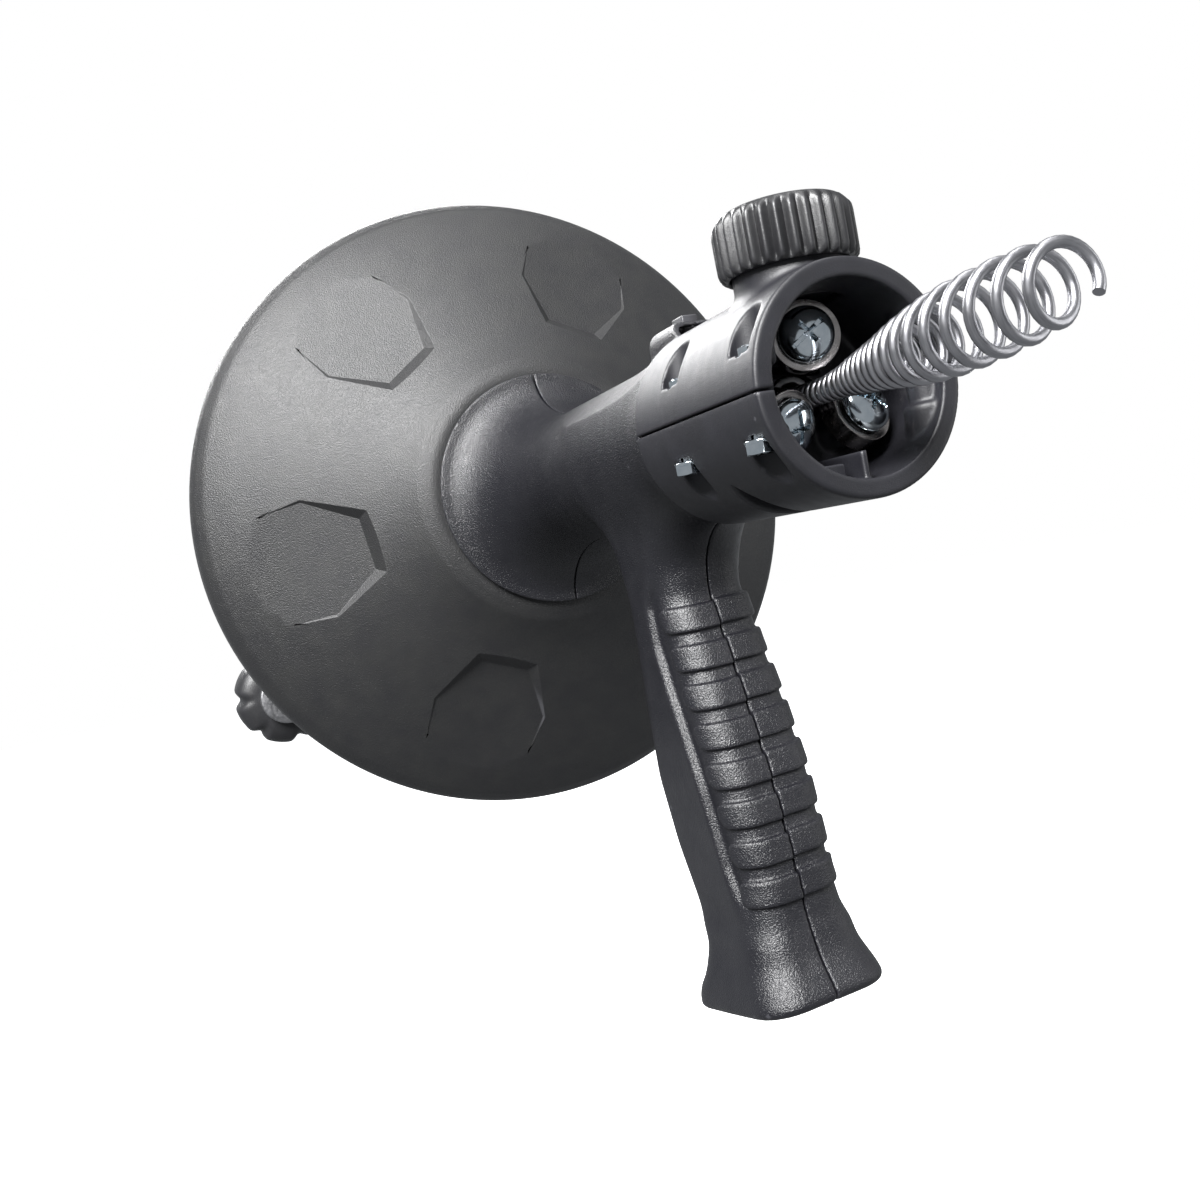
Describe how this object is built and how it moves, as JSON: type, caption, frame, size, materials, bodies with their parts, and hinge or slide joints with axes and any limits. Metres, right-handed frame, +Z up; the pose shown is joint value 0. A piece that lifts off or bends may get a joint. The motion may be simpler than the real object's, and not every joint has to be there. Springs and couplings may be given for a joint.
{
  "type": "drain snake machine",
  "caption": "Hand-held drain snake: a cable drum with a rear crank turns on a pistol grip behind a split feed head with skewed rollers and a feed knob.",
  "frame": {"origin": "centre of the drive stud's end face, on the drum axis at the back of the drum", "axes": "+Y along the drum axis, from the feed head back to the drive stud; +Z up, from the grip to the feed knob; +X completes the right-handed frame"},
  "size_m": [0.244, 0.4037, 0.2866],
  "materials": {
    "grip_plastic": "moulded, fine spark-eroded texture, soft gloss",
    "head_plastic": "moulded, satin, fine grain",
    "drum_plastic": "moulded, leathery grain with a soft grey sheen",
    "knob_plastic": "moulded, satin",
    "nylon": "natural nylon, turned",
    "zinc": "bright bluish zinc plate",
    "bearing_steel": "ground bearing steel, thinly oiled",
    "seal_rubber": "black rubber seal",
    "spring_wire": "drawn spring wire, satin with fine draw lines",
    "dark_steel": "turned steel, phosphated"
  },
  "bodies": {
    "handle": {"handle_left": "grip_plastic", "handle_right": "grip_plastic", "head_upper": "head_plastic", "head_lower": "head_plastic", "guide_tube": "dark_steel", "drum_bush": "nylon", "retaining_ring": "dark_steel", "clamp_screw_left_front": "zinc", "clamp_screw_left_rear": "zinc", "clamp_screw_right_front": "zinc", "clamp_screw_right_rear": "zinc", "handle_screw_1": "zinc", "handle_screw_2": "zinc", "handle_screw_3": "zinc", "handle_screw_4": "zinc", "handle_screw_5": "zinc", "roller_hub_right": "bearing_steel", "roller_screw_right": "zinc", "roller_hub_left": "bearing_steel", "roller_screw_left": "zinc"},
    "carrier": {"roller_carrier": "head_plastic", "roller_hub_top": "bearing_steel", "roller_screw_top": "zinc"},
    "feed_knob": {"feed_knob": "knob_plastic", "feed_screw": "dark_steel"},
    "lock_button": {"cable_lock_button": "knob_plastic"},
    "roller_top": {"roller_top": "bearing_steel", "roller_seal_top": "seal_rubber"},
    "roller_right": {"roller_right": "bearing_steel", "roller_seal_right": "seal_rubber"},
    "roller_left": {"roller_left": "bearing_steel", "roller_seal_left": "seal_rubber"},
    "drum": {"drum_front": "drum_plastic", "drum_rear": "drum_plastic", "drum_screw_1": "zinc", "drum_screw_2": "zinc", "drum_screw_3": "zinc", "drum_screw_4": "zinc", "drum_screw_5": "zinc", "drum_screw_6": "zinc", "cable_coil": "spring_wire", "cable_lead": "spring_wire", "cable_anchor": "dark_steel", "drive_stud": "dark_steel", "crank_arm": "dark_steel", "crank_nut": "zinc", "crank_pin": "zinc"},
    "crank_knob": {"crank_knob": "knob_plastic"},
    "cable": {"cable_run": "spring_wire", "cable_auger": "spring_wire"}
  },
  "joints": [
    {"name": "drum_spin", "type": "hinge", "parent": "handle", "child": "drum", "pos_m": [0, -0.08, 0], "axis": [0, 1, 0], "continuous": true},
    {"name": "crank_knob_spin", "type": "hinge", "parent": "drum", "child": "crank_knob", "pos_m": [-0.09645, -0.003, -0.06263], "axis": [0, 1, 0], "continuous": true},
    {"name": "cable_feed", "type": "slide", "parent": "drum", "child": "cable", "axis": [0, -1, 0], "range_m": [0, 0.08]},
    {"name": "carrier_slide", "type": "slide", "parent": "handle", "child": "carrier", "axis": [0, 0, 1], "range_m": [-0.0018, 0]},
    {"name": "knob_turn", "type": "hinge", "parent": "carrier", "child": "feed_knob", "pos_m": [0, -0.3104, 0.034], "axis": [0, 0, 1], "range_deg": [-432, 0]},
    {"name": "roller_top_spin", "type": "hinge", "parent": "carrier", "child": "roller_top", "pos_m": [0, -0.311, 0.0128], "axis": [-0.3746, -0.9272, 0], "continuous": true},
    {"name": "roller_right_spin", "type": "hinge", "parent": "handle", "child": "roller_right", "pos_m": [0.00996, -0.311, -0.00575], "axis": [0.1873, -0.9272, 0.3244], "continuous": true},
    {"name": "roller_left_spin", "type": "hinge", "parent": "handle", "child": "roller_left", "pos_m": [-0.00996, -0.311, -0.00575], "axis": [0.1873, -0.9272, -0.3244], "continuous": true},
    {"name": "lock_button_press", "type": "slide", "parent": "handle", "child": "lock_button", "axis": [0, 0, -1], "range_m": [0, 0.0015], "stiffness_N_per_m": 400}
  ],
  "couplings": [
    {"joint": "carrier_slide", "follows": "knob_turn", "m_per_rad": 0.00019894}
  ]
}
